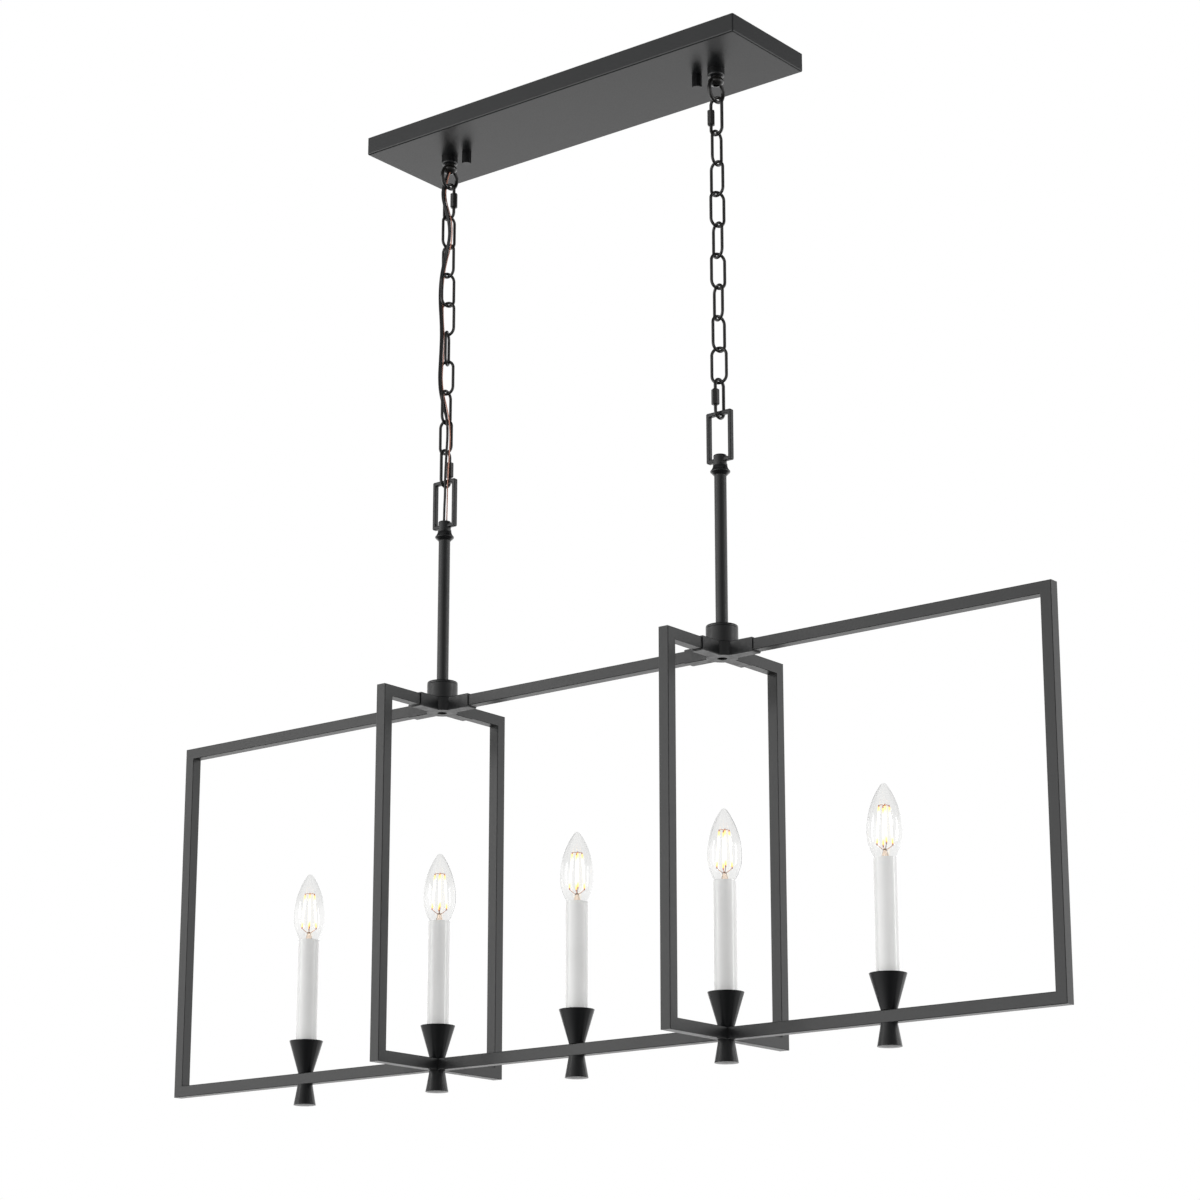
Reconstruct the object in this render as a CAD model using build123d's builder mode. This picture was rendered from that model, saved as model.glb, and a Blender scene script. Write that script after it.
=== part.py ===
from build123d import *

import os
from math import asin, atan2, cos, degrees, hypot, pi, radians, sin, tan

# Linear island pendant. Five candle lamps stand in a cage of square bars, which hangs on two chains from a long
# canopy at the ceiling. Units are millimetres. +X runs along the long frame, +Z is up, and the origin is the middle
# of the ceiling plane that the canopy closes against.

os.makedirs("parts", exist_ok=True)

# ---------------------------------------------------------------- canopy and what is fixed at the ceiling
canopy_length = 505.0
canopy_width = 125.0
canopy_height = 20.3
canopy_wall = 1.2
canopy_edge_radius = 1.6
crossbar_width = 25.0
crossbar_thickness = 2.5
crossbar_overhang = 14.0        # from a stud's axis to the bar's end
box_screw_spacing = 82.6        # hole spacing of a round ceiling outlet box
box_slot_length = 14.0
box_slot_width = 5.0
crossbar_centre_hole = 11.0
stud_spacing = 320.0
stud_to_hang_loop = 25.0        # between the axes of a stud and of the hang loop beside it
stud_diameter = 4.0
stud_end_clearance = 1.0        # between a stud's end and the floor of its nut's bore
thumb_nut_diameter = 10.4
thumb_nut_length = 14.0
thumb_nut_bore_depth = 11.0
thumb_nut_flutes = 18
thumb_nut_flute_radius = 0.5
ground_screw_x = 62.0
ground_screw_head = 8.0
ground_screw_head_height = 2.4
ground_screw_thread = 4.0
ground_screw_length = 9.0
wire_nut_radius = 5.5
wire_nut_tip_radius = 3.4
wire_nut_height = 15.0
wire_nut_pitch = 16.0
wire_nut_first_x = -128.0
wire_nut_count = 3

# ---------------------------------------------------------------- hang loops
pipe_thread = 10.0              # lamp pipe, outside
pipe_bore = 7.0                 # lamp pipe, inside
hang_shank_top = 9.0            # below the ceiling plane
hang_collar_diameter = 18.0
hang_collar_height = 9.2
hang_collar_round = 2.6
hang_ball_diameter = 16.6
hang_ball_height = 10.0
hang_ring_diameter = 28.0       # outside
hang_ring_wire = 4.0
hang_ring_sink = 1.7            # how deep the ring's wire stands in the ball's top
hang_wire_bore = 6.4
locknut_flats = 15.0
locknut_height = 4.0

# ---------------------------------------------------------------- chains
quick_inner_length = 38.0
quick_inner_width = 10.6
quick_wire = 3.4
quick_gate_gap = 5.0            # opening in the leg, hidden by the nut
quick_nut_flats = 7.2
quick_nut_length = 17.0
link_inner_length = 34.6
link_inner_width = 12.6
link_wire = 3.2
# each link's plane, turned about the chain from the long frame's plane, from the second piece of the chain down
link_turns_left = (78.0, -2.0, 75.0, 12.0, 118.0, 12.0, 96.0, 1.0)
link_turns_right = (90.0, -5.0, 68.0, -20.0, 67.0, -22.0, 78.0, 16.0)

# ---------------------------------------------------------------- cord
cord_diameter = 3.6
ground_diameter = 1.3           # insulated ground wire beside the cord
# points of both routes: from the left chain's axis in x and y, and from the ceiling in z
cord_route = (
    (-0.5, -0.4, -33.0),
    (-0.9, -0.7, -40.5),
    (-3.4, -3.2, -49.5),
    (-5.0, -5.4, -61.5),
    (-2.7, -6.1, -75.0),
    (2.2, -5.8, -88.5),
    (4.9, -4.6, -103.0),
    (5.1, -4.1, -116.5),
    (2.9, -4.5, -130.5),
    (-1.9, -4.6, -146.5),
    (-6.1, -4.2, -163.0),
    (-7.2, -4.4, -179.5),
    (-5.8, -5.6, -196.0),
    (-4.0, -5.8, -213.0),
    (-3.4, -5.4, -230.0),
    (-4.0, -5.1, -247.0),
    (-4.5, -5.5, -264.5),
    (-5.2, -5.7, -282.0),
    (-4.0, -5.2, -299.0),
    (0.0, -3.7, -316.0),
    (5.3, -4.2, -333.5),
    (5.8, -4.0, -350.5),
    (5.2, -4.5, -367.5),
    (5.1, -5.4, -385.0),
    (4.5, -5.6, -402.0),
    (2.6, -3.1, -417.0),
    (-0.4, -0.6, -431.5),
    (-0.6, -0.5, -445.0),
)
ground_route = (
    (2.0, 0.5, -33.0),
    (1.5, -1.9, -40.5),
    (0.2, -3.7, -49.5),
    (-4.9, -0.8, -61.5),
    (-2.2, -1.6, -75.0),
    (3.3, -2.7, -88.5),
    (7.3, -3.1, -103.0),
    (7.9, -3.3, -116.5),
    (5.8, -3.1, -130.5),
    (-1.3, -1.7, -146.5),
    (-3.9, -2.5, -163.0),
    (-4.4, -3.9, -179.5),
    (-3.5, -3.8, -196.0),
    (-4.8, -1.8, -213.0),
    (-1.9, -3.1, -230.0),
    (-1.3, -3.6, -247.0),
    (-2.5, -3.5, -264.5),
    (-4.3, -3.1, -282.0),
    (-2.6, -2.5, -299.0),
    (4.8, -5.3, -316.0),
    (7.9, -3.8, -333.5),
    (8.5, -2.8, -350.5),
    (8.1, -3.0, -367.5),
    (7.6, -3.9, -385.0),
    (6.8, -4.0, -402.0),
    (5.1, -2.1, -417.0),
    (2.9, 0.2, -431.5),
    (1.4, 1.7, -445.0),
)
cord_names = ("cord_exit", "cord_top", "cord_chain", "cord_bottom", "cord_tail")
cord_run_numbers = (3, 6, 20, 22)       # the runs in whose middle one stretch ends and the next begins

# ---------------------------------------------------------------- stems
loop_width = 31.0
loop_height = 53.9
loop_bar = 4.0                  # in the loop's plane
loop_depth = 5.5                # across it
loop_corner_radius = 1.6
loop_edge_radius = 0.9
loop_seat = 3.1                 # from the quick link's bow up to the middle of the loop's top bar
boss_diameter = 13.6
boss_rise = 3.4                 # above the loop's bottom bar
boss_drop = 2.6                 # below the loop's bottom bar
boss_dome = 1.2
boss_wire_hole = 6.6
collar_neck_diameter = 14.8
collar_flare_diameter = 20.5
collar_height = 11.4
collar_neck_height = 1.6
collar_bell_sag = 0.9           # how far the bell stands out half way down
collar_lip_level = 7.8          # widest point, below the collar's top
collar_lip_radius = 0.9
collar_foot = 0.9               # wall left round the stem at the collar's end
collar_seat = 2.0               # thickness over the stem's end
stem_diameter = 12.5
stem_wall = 1.1
stem_exposed = 158.0
nipple_engagement = 10.0

# ---------------------------------------------------------------- hubs on the frame's top
hub_diameter = 32.6
hub_height = 19.25              # from the cross arms up, cap included
hub_cap_height = 3.2
hub_cap_round = 1.4
hub_cap_seam = 0.5
hub_arm = 14.5                  # section of the cross arms
hub_arm_reach = 41.8            # from the stem's axis
hub_arm_edge = 0.8
hub_spacing = stud_spacing + 2 * stud_to_hang_loop      # a stem under each hang loop

# ---------------------------------------------------------------- frame of square bar
frame_length = 1131.0
frame_height = 393.0
cross_depth = 194.0
bar = 12.0
bar_wall = 1.2
bar_edge = 0.8
bottom_hub_reach = 40.0
spigot_length = 9.0
wire_way = 6.0                  # bore along the arms of the hubs

# ---------------------------------------------------------------- candles
sleeve_diameter = 23.0
sleeve_wall = 1.0
sleeve_play = 0.2               # between the sleeve and the cup round it
sleeve_top = 143.6              # above the bottom bar
cup_rim_diameter = 36.0
cup_foot_diameter = 15.6
cup_height = 34.5
cup_wall = 1.2
finial_top_diameter = 16.0
finial_bottom_diameter = 23.8
finial_height = 21.6
finial_dome = 1.0
finial_bore_depth = 16.0
socket_diameter = 18.4
socket_length = 42.0
socket_below_sleeve = 7.0
socket_bore_depth = 20.0
socket_thread_diameter = 12.4
bulb_diameter = 35.0
bulb_height = 72.0              # glass above the sleeve
bulb_widest = 24.6              # level of the full diameter, above the sleeve
bulb_side_radius = 80.0
bulb_neck_radius = 10.1         # where the glass enters the sleeve
bulb_glass = 0.8
bulb_cap_diameter = 11.7
bulb_cap_length = 19.0
bulb_cap_chamfer = 1.5
bulb_cap_drop = 6.4             # from the sleeve's top down to the cap's top
filament_count = 4
filament_radius = 0.8
filament_low_radius = 7.6
filament_high_radius = 5.0
filament_low = 13.0             # above the sleeve
filament_high = 50.0
lead_radius = 0.35
mount_foot_radius = 3.9         # glass mount inside the bulb
mount_head_radius = 2.0
mount_height = 9.0              # above the sleeve

# ---------------------------------------------------------------- clearances
hang_gap = 0.3                  # between pieces that hang in each other
turn_gap = 0.3                  # round a threaded piece that turns
fit_gap = 0.1                   # between fixed pieces that slide together

# ---------------------------------------------------------------- levels, from the ceiling down
hub_x = hub_spacing / 2
canopy_under = -canopy_height
collar_top = canopy_under - fit_gap
ball_top = collar_top - hang_collar_height - fit_gap
ball_centre = ball_top - hang_ball_height / 2
ring_centre = ball_top - hang_ring_diameter / 2 - hang_ring_sink
ring_floor = ring_centre - hang_ring_diameter / 2 + hang_ring_wire

chain = []                      # (inner top, inner bottom) of each piece of a chain, from the quick link down
level = ring_floor + hang_gap
for inner in (quick_inner_length, *[link_inner_length] * len(link_turns_left), quick_inner_length):
    chain.append((level, level - inner))
    level = level - inner + hang_gap
chain_floor = chain[-1][1]

loop_axis = chain_floor + loop_seat
loop_top = loop_axis + loop_bar / 2
loop_bottom = loop_top - loop_height
boss_top = loop_bottom + loop_bar + boss_rise
boss_bottom = loop_bottom - boss_drop
collar_bottom = boss_bottom - collar_height
stem_top = boss_bottom - collar_seat
hub_top = collar_bottom - stem_exposed
cap_bottom = hub_top - hub_cap_height
arm_top = hub_top - hub_height
arm_axis = arm_top - hub_arm / 2
top_bar_axis = arm_axis
frame_top = top_bar_axis + bar / 2
frame_bottom = frame_top - frame_height
bottom_bar_axis = frame_bottom + bar / 2
bottom_bar_top = frame_bottom + bar
sleeve_end = bottom_bar_top + sleeve_top
end_x = frame_length / 2 - bar / 2
side_y = cross_depth / 2 - bar / 2
end_candle_x = (hub_x + end_x) / 2
candle_places = (-end_candle_x, -hub_x, 0.0, hub_x, end_candle_x)
names = {-1: "left", 1: "right"}


def save(part, name):
    """Label one finished piece and write it under its own name."""
    part.label = name
    export_step(part, f"parts/{name}.step")


def revolved(points, x=0.0, y=0.0):
    """Solid of revolution about a vertical axis, from a closed outline of (radius, level) points."""
    with BuildPart() as piece:
        with BuildSketch(Plane(origin=(x, y, 0), x_dir=(1, 0, 0), z_dir=(0, -1, 0))):
            with BuildLine():
                Polyline(*points, close=True)
            make_face()
        revolve(axis=Axis((x, y, 0), (0, 0, 1)))
    return piece.part


# ================================================================ ceiling
with BuildPart() as canopy_pan:
    Box(canopy_length, canopy_width, canopy_height, align=(Align.CENTER, Align.CENTER, Align.MAX))
    fillet(canopy_pan.edges().filter_by(Axis.Z), canopy_edge_radius)
    fillet(canopy_pan.faces().sort_by(Axis.Z)[0].edges(), canopy_edge_radius)
    offset(amount=-canopy_wall, openings=canopy_pan.faces().sort_by(Axis.Z)[-1])
    with BuildSketch(Plane.XY.offset(canopy_under)):
        with Locations((-hub_x, 0), (hub_x, 0)):
            Circle(pipe_thread / 2 + fit_gap)
        with Locations((-stud_spacing / 2, 0), (stud_spacing / 2, 0)):
            Circle(stud_diameter / 2 + fit_gap)
    extrude(amount=canopy_wall * 2, mode=Mode.SUBTRACT)
save(canopy_pan.part, "canopy_pan")

with BuildPart() as ceiling_crossbar:
    with BuildSketch():
        SlotOverall(stud_spacing + 2 * crossbar_overhang, crossbar_width)
        Circle(crossbar_centre_hole / 2, mode=Mode.SUBTRACT)
        with Locations((-box_screw_spacing / 2, 0), (box_screw_spacing / 2, 0)):
            SlotOverall(box_slot_length, box_slot_width, mode=Mode.SUBTRACT)
        with Locations((-stud_spacing / 2, 0), (stud_spacing / 2, 0)):
            Circle(stud_diameter / 2 + fit_gap, mode=Mode.SUBTRACT)
        with Locations((ground_screw_x, 0)):
            Circle(ground_screw_thread / 2 + fit_gap, mode=Mode.SUBTRACT)
    extrude(amount=-crossbar_thickness)
save(ceiling_crossbar.part, "ceiling_crossbar")

with BuildPart() as long_screws:
    with BuildSketch():
        with Locations((-stud_spacing / 2, 0), (stud_spacing / 2, 0)):
            Circle(stud_diameter / 2)
    extrude(amount=canopy_under - thumb_nut_bore_depth + stud_end_clearance)
for side in (-1, 1):
    with BuildPart() as thumb_nut:
        with BuildSketch(Plane.XY.offset(canopy_under - fit_gap)):
            with Locations((side * stud_spacing / 2, 0)):
                Circle(thumb_nut_diameter / 2)
        extrude(amount=-thumb_nut_length)
        chamfer(thumb_nut.faces().sort_by(Axis.Z)[0].edges(), thumb_nut_flute_radius)
        with BuildSketch(Plane.XY.offset(canopy_under - fit_gap)):
            with Locations((side * stud_spacing / 2, 0)):
                with PolarLocations(thumb_nut_diameter / 2, thumb_nut_flutes):
                    Circle(thumb_nut_flute_radius)
        extrude(amount=-thumb_nut_length, mode=Mode.SUBTRACT)
        with BuildSketch(Plane.XY.offset(canopy_under - fit_gap)):
            with Locations((side * stud_spacing / 2, 0)):
                Circle(stud_diameter / 2 + turn_gap)
        extrude(amount=-thumb_nut_bore_depth, mode=Mode.SUBTRACT)
    save(thumb_nut.part, f"thumb_nut_{names[side]}")

with BuildPart() as ground_screw:
    with BuildSketch(Plane.XY.offset(-crossbar_thickness)):
        with Locations((ground_screw_x, 0)):
            Circle(ground_screw_head / 2)
    extrude(amount=-ground_screw_head_height)
    fillet(ground_screw.faces().sort_by(Axis.Z)[0].edges(), ground_screw_head_height / 3)
    with BuildSketch():
        with Locations((ground_screw_x, 0)):
            Circle(ground_screw_thread / 2)
    extrude(amount=-crossbar_thickness)
save(Compound(children=[*long_screws.part.solids(), ground_screw.part]), "crossbar_screws")

wire_nuts = []
for number in range(wire_nut_count):
    floor = canopy_under + canopy_wall
    outline = [
        (0, floor), (wire_nut_radius, floor), (wire_nut_radius, floor + wire_nut_height / 3),
        (wire_nut_tip_radius, floor + wire_nut_height), (0, floor + wire_nut_height),
    ]
    wire_nuts.append(revolved(outline, wire_nut_first_x + number * wire_nut_pitch))
save(Compound(children=wire_nuts), "wire_nuts")

locknuts = []
for side in (-1, 1):
    with BuildPart() as locknut:
        with BuildSketch(Plane.XY.offset(canopy_under + canopy_wall)):
            with Locations((side * hub_x, 0)):
                RegularPolygon(locknut_flats / 2, 6, major_radius=False)
                Circle(pipe_thread / 2 + fit_gap, mode=Mode.SUBTRACT)
        extrude(amount=locknut_height)
    locknuts.append(locknut.part)
save(Compound(children=locknuts), "loop_locknuts")


# ================================================================ hang loops and their collars
for side in (-1, 1):
    x = side * hub_x
    with BuildPart() as hang_loop:
        with BuildSketch(Plane.XY.offset(-hang_shank_top)):
            with Locations((x, 0)):
                Circle(pipe_thread / 2)
        extrude(amount=ball_centre + hang_shank_top)
        with BuildSketch(Plane(origin=(x, 0, ball_centre), x_dir=(1, 0, 0), z_dir=(0, -1, 0))):
            Ellipse(hang_ball_diameter / 2, hang_ball_height / 2)
            with Locations((-hang_ball_diameter / 2, 0)):
                Rectangle(hang_ball_diameter, hang_ball_height, mode=Mode.SUBTRACT)
        revolve(axis=Axis((x, 0, 0), (0, 0, 1)))
        with BuildSketch(Plane(origin=(x, 0, ring_centre), x_dir=(0, 1, 0), z_dir=(0, 0, 1))):
            with Locations((hang_ring_diameter / 2 - hang_ring_wire / 2, 0)):
                Circle(hang_ring_wire / 2)
        revolve(axis=Axis((x, 0, ring_centre), (1, 0, 0)))
        with BuildSketch(Plane.XY.offset(-hang_shank_top)):
            with Locations((x, 0)):
                Circle(hang_wire_bore / 2)
        extrude(amount=ball_centre - hang_ball_height + hang_shank_top, mode=Mode.SUBTRACT)
    save(hang_loop.part, f"hang_loop_{names[side]}")

    with BuildPart() as loop_collar:
        with BuildSketch(Plane.XY.offset(collar_top)):
            with Locations((x, 0)):
                Circle(hang_collar_diameter / 2)
        extrude(amount=-hang_collar_height)
        fillet(loop_collar.faces().sort_by(Axis.Z)[0].edges(), hang_collar_round)
        with BuildSketch(Plane.XY.offset(collar_top)):
            with Locations((x, 0)):
                Circle(pipe_thread / 2 + turn_gap)
        extrude(amount=-hang_collar_height, mode=Mode.SUBTRACT)
    save(loop_collar.part, f"loop_collar_{names[side]}")


# ================================================================ chains
def oval(x, middle, turn, inner_length, inner_width, wire):
    """One closed oval of round wire, upright, turned about the vertical from the long frame's plane."""
    across = inner_width / 2 + wire / 2
    straight = (inner_length - inner_width) / 2
    upright = Plane(
        origin=(x, 0, middle),
        x_dir=(cos(radians(turn)), sin(radians(turn)), 0),
        z_dir=(sin(radians(turn)), -cos(radians(turn)), 0),
    )
    with BuildPart() as ring:
        with BuildLine(upright) as path:
            Line((across, -straight), (across, straight))
            ThreePointArc((across, straight), (0, straight + across), (-across, straight))
            Line((-across, straight), (-across, -straight))
            ThreePointArc((-across, -straight), (0, -straight - across), (across, -straight))
        with BuildSketch(Plane(origin=upright.from_local_coords((across, 0)), z_dir=(0, 0, 1))):
            Circle(wire / 2)
        sweep(path=path.wires()[0])
    return ring.part


def quick_link(x, middle, turn, nut_side):
    """Open oval whose gate sits in one leg, and the hex nut that closes the gate."""
    leg = (quick_inner_width + quick_wire) / 2 * nut_side
    leg_x = x + leg * cos(radians(turn))
    leg_y = leg * sin(radians(turn))
    gate_middle = middle - quick_nut_length / 2 + 1 + quick_gate_gap / 2
    with BuildPart() as body:
        add(oval(x, middle, turn, quick_inner_length, quick_inner_width, quick_wire))
        with BuildSketch(Plane.XY.offset(gate_middle - quick_gate_gap / 2)):
            with Locations((leg_x, leg_y)):
                Circle(quick_wire)
        extrude(amount=quick_gate_gap, mode=Mode.SUBTRACT)
    with BuildPart() as nut:
        with BuildSketch(Plane.XY.offset(middle - quick_nut_length / 2)):
            with Locations((leg_x, leg_y)):
                RegularPolygon(quick_nut_flats / 2, 6, major_radius=False, rotation=turn)
        extrude(amount=quick_nut_length)
        chamfer(nut.faces().filter_by(Axis.Z).edges(), 0.7)
        with BuildSketch(Plane.XY.offset(middle - quick_nut_length / 2)):
            with Locations((leg_x, leg_y)):
                Circle(quick_wire / 2 + turn_gap)
        extrude(amount=quick_nut_length, mode=Mode.SUBTRACT)
    return body.part, nut.part


for side, turns in ((-1, link_turns_left), (1, link_turns_right)):
    name = names[side]
    x = side * hub_x
    for (top, bottom), place, turn in ((chain[0], "top", 0), (chain[-1], "bottom", 90)):
        body, nut = quick_link(x, (top + bottom) / 2, turn, -side)
        save(body, f"quick_link_{place}_{name}")
        save(nut, f"quick_nut_{place}_{name}")
    for number, turn in enumerate(turns):
        top, bottom = chain[number + 1]
        link = oval(x, (top + bottom) / 2, turn, link_inner_length, link_inner_width, link_wire)
        save(link, f"chain_link_{name}_{number + 1}")


# ================================================================ stems
stem_loops = []
stem_collars = []
stems = []
nipples = []
for side in (-1, 1):
    x = side * hub_x
    with BuildPart() as stem_loop:
        with BuildSketch(Plane(origin=(x, 0, loop_top - loop_height / 2), x_dir=(1, 0, 0), z_dir=(0, -1, 0))):
            RectangleRounded(loop_width, loop_height, loop_corner_radius)
            Rectangle(loop_width - 2 * loop_bar, loop_height - 2 * loop_bar, mode=Mode.SUBTRACT)
        extrude(amount=loop_depth / 2, both=True)
        fillet(stem_loop.faces().filter_by(Axis.Y).edges(), loop_edge_radius)
        with BuildSketch(Plane(origin=(x, 0, boss_bottom), x_dir=(1, 0, 0), z_dir=(0, -1, 0))) as boss:
            Rectangle(boss_diameter / 2, boss_top - boss_bottom, align=(Align.MIN, Align.MIN))
            fillet(boss.vertices().group_by(Axis.Y)[-1].sort_by(Axis.X)[-1], boss_dome)
        revolve(axis=Axis((x, 0, 0), (0, 0, 1)))
        with BuildSketch(Plane.XY.offset(boss_bottom)):
            with Locations((x, 0)):
                Circle(pipe_thread / 2 + fit_gap)
        extrude(amount=boss_drop + loop_bar, mode=Mode.SUBTRACT)
        with BuildSketch(Plane.XY.offset(boss_bottom)):
            with Locations((x, 0)):
                Circle(boss_wire_hole / 2)
        extrude(amount=boss_top - boss_bottom, mode=Mode.SUBTRACT)
    stem_loops.append(stem_loop.part)

    neck = collar_neck_diameter / 2
    flare = collar_flare_diameter / 2
    with BuildPart() as stem_collar:
        with BuildSketch(Plane(origin=(x, 0, boss_bottom), x_dir=(1, 0, 0), z_dir=(0, -1, 0))):
            with BuildLine():
                Polyline(
                    (stem_diameter / 2 + fit_gap, -collar_height),
                    (stem_diameter / 2 + fit_gap, -collar_seat),
                    (pipe_thread / 2 + fit_gap, -collar_seat),
                    (pipe_thread / 2 + fit_gap, 0),
                    (neck, 0),
                    (neck, -collar_neck_height),
                )
                ThreePointArc(
                    (neck, -collar_neck_height),
                    (neck + collar_bell_sag, -(collar_neck_height + collar_lip_level) / 2),
                    (flare - collar_lip_radius / 2, -collar_lip_level + collar_lip_radius),
                )
                ThreePointArc(
                    (flare - collar_lip_radius / 2, -collar_lip_level + collar_lip_radius),
                    (flare, -collar_lip_level),
                    (flare - collar_lip_radius / 2, -collar_lip_level - collar_lip_radius),
                )
                Polyline(
                    (flare - collar_lip_radius / 2, -collar_lip_level - collar_lip_radius),
                    (stem_diameter / 2 + collar_foot, -collar_height),
                    (stem_diameter / 2 + fit_gap, -collar_height),
                )
            make_face()
        revolve(axis=Axis((x, 0, 0), (0, 0, 1)))
    stem_collars.append(stem_collar.part)

    with BuildPart() as stem:
        with BuildSketch(Plane.XY.offset(stem_top)):
            with Locations((x, 0)):
                Circle(stem_diameter / 2)
                Circle(stem_diameter / 2 - stem_wall, mode=Mode.SUBTRACT)
        extrude(amount=cap_bottom - stem_top)
    stems.append(stem.part)

    upper = (boss_top - boss_rise - fit_gap, stem_top - nipple_engagement)
    lower = (cap_bottom + nipple_engagement, arm_top - nipple_engagement)
    for high, low in (upper, lower):
        with BuildPart() as nipple:
            with BuildSketch(Plane.XY.offset(low)):
                with Locations((x, 0)):
                    Circle(pipe_thread / 2)
                    Circle(pipe_bore / 2, mode=Mode.SUBTRACT)
            extrude(amount=high - low)
        nipples.append(nipple.part)
save(Compound(children=stem_loops), "stem_loops")
save(Compound(children=stem_collars), "stem_collars")
save(Compound(children=stems), "stems")


# ================================================================ hubs
def cross(x, axis_level, section, reach, edge, disc):
    """Cross of four square arms with a spigot on each end, wire ways inside and an upright pipe hole."""
    spigot = bar - 2 * bar_wall - 2 * fit_gap
    with BuildPart() as body:
        with BuildSketch(Plane.XY.offset(axis_level - section / 2)):
            with Locations((x, 0)):
                Rectangle(2 * reach, section)
                Rectangle(section, 2 * reach)
                if disc:
                    Circle(disc / 2)
        extrude(amount=section)
        fillet(body.edges().group_by(Axis.Z)[0] + body.edges().group_by(Axis.Z)[-1], edge)
        with Locations((x, 0, axis_level)):
            Box(2 * (reach + spigot_length), spigot, spigot)
            Box(spigot, 2 * (reach + spigot_length), spigot)
            Cylinder(wire_way / 2, 2 * (reach + spigot_length), rotation=(0, 90, 0), mode=Mode.SUBTRACT)
            Cylinder(wire_way / 2, 2 * (reach + spigot_length), rotation=(90, 0, 0), mode=Mode.SUBTRACT)
    return body.part


top_hubs = []
hub_caps = []
bottom_hubs = []
for side in (-1, 1):
    x = side * hub_x
    with BuildPart() as top_hub:
        add(cross(x, arm_axis, hub_arm, hub_arm_reach, hub_arm_edge, hub_diameter))
        with BuildSketch(Plane.XY.offset(arm_top)):
            with Locations((x, 0)):
                Circle(hub_diameter / 2)
        extrude(amount=cap_bottom - arm_top)
        with Locations((x, 0, arm_axis)):
            Cylinder(pipe_thread / 2 + fit_gap, 4 * hub_height, mode=Mode.SUBTRACT)
    top_hubs.append(top_hub.part)

    with BuildPart() as hub_cap:
        with BuildSketch(Plane.XY.offset(cap_bottom)):
            with Locations((x, 0)):
                Circle(hub_diameter / 2)
        extrude(amount=hub_cap_height)
        fillet(hub_cap.faces().sort_by(Axis.Z)[-1].edges(), hub_cap_round)
        chamfer(hub_cap.faces().sort_by(Axis.Z)[0].edges(), hub_cap_seam)
        with BuildSketch(Plane.XY.offset(cap_bottom)):
            with Locations((x, 0)):
                Circle(stem_diameter / 2 + fit_gap)
        extrude(amount=hub_cap_height, mode=Mode.SUBTRACT)
    hub_caps.append(hub_cap.part)

    with BuildPart() as bottom_hub:
        add(cross(x, bottom_bar_axis, bar, bottom_hub_reach, bar_edge, 0))
        with Locations((x, 0, bottom_bar_axis)):
            Cylinder(pipe_thread / 2 + fit_gap, 2 * bar, mode=Mode.SUBTRACT)
    bottom_hubs.append(bottom_hub.part)
save(Compound(children=top_hubs), "top_hubs")
save(Compound(children=hub_caps), "hub_caps")
save(Compound(children=bottom_hubs), "bottom_hubs")


# ================================================================ frame of square tube
def square_tube(*points, pipe_holes=()):
    """Square tube along straight runs with mitred corners, and round holes down through it for lamp pipes."""
    with BuildPart() as tube:
        with BuildLine() as path:
            Polyline(*points)
        with BuildSketch(Plane(origin=path.line @ 0, z_dir=path.line % 0)):
            RectangleRounded(bar, bar, bar_edge)
            Rectangle(bar - 2 * bar_wall, bar - 2 * bar_wall, mode=Mode.SUBTRACT)
        sweep(transition=Transition.RIGHT)
        for x in pipe_holes:
            with Locations((x, 0, bottom_bar_axis)):
                Cylinder(pipe_thread / 2 + fit_gap, 2 * bar, mode=Mode.SUBTRACT)
    return tube.part


cross_frames = []
for side in (-1, 1):
    end_frame = square_tube(
        (side * (hub_x + hub_arm_reach), 0, top_bar_axis),
        (side * end_x, 0, top_bar_axis),
        (side * end_x, 0, bottom_bar_axis),
        (side * (hub_x + bottom_hub_reach), 0, bottom_bar_axis),
        pipe_holes=(side * end_candle_x,),
    )
    save(end_frame, f"end_frame_{names[side]}")
    for way in (-1, 1):
        cross_frames.append(square_tube(
            (side * hub_x, way * hub_arm_reach, top_bar_axis),
            (side * hub_x, way * side_y, top_bar_axis),
            (side * hub_x, way * side_y, bottom_bar_axis),
            (side * hub_x, way * bottom_hub_reach, bottom_bar_axis),
        ))
save(Compound(children=cross_frames), "cross_frames")

inner_top = hub_x - hub_arm_reach
inner_bottom = hub_x - bottom_hub_reach
centre_bars = [
    square_tube((-inner_top, 0, top_bar_axis), (inner_top, 0, top_bar_axis)),
    square_tube((-inner_bottom, 0, bottom_bar_axis), (inner_bottom, 0, bottom_bar_axis), pipe_holes=(0,)),
]
save(Compound(children=centre_bars), "centre_bars")


# ================================================================ candles
def candle_cup(x):
    """Inverted cone with a level seat inside it, where the cone is as wide as the sleeve."""
    outline = [
        (pipe_hole, bottom_bar_top),
        (cup_foot_diameter / 2, bottom_bar_top),
        (cup_rim_diameter / 2, bottom_bar_top + cup_height),
        (cup_rim_diameter / 2 - cup_skin, bottom_bar_top + cup_height),
        (seat_radius, sleeve_bottom),
        (pipe_hole, sleeve_bottom),
    ]
    return revolved(outline, x)


def candle_sleeve(x):
    """Open tube that hides the socket."""
    inside = sleeve_diameter / 2 - sleeve_wall
    outside = sleeve_diameter / 2
    return revolved([(inside, sleeve_bottom), (outside, sleeve_bottom), (outside, sleeve_end), (inside, sleeve_end)], x)


def lamp_socket(x):
    """Candle socket, bored for the bulb's cap above and for the lamp pipe below."""
    outline = [
        (pipe_hole, socket_bottom),
        (socket_diameter / 2, socket_bottom),
        (socket_diameter / 2, socket_top),
        (socket_thread_diameter / 2, socket_top),
        (socket_thread_diameter / 2, socket_top - socket_bore_depth),
        (0, socket_top - socket_bore_depth),
        (0, socket_bottom + nipple_engagement),
        (pipe_hole, socket_bottom + nipple_engagement),
    ]
    return revolved(outline, x)


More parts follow.
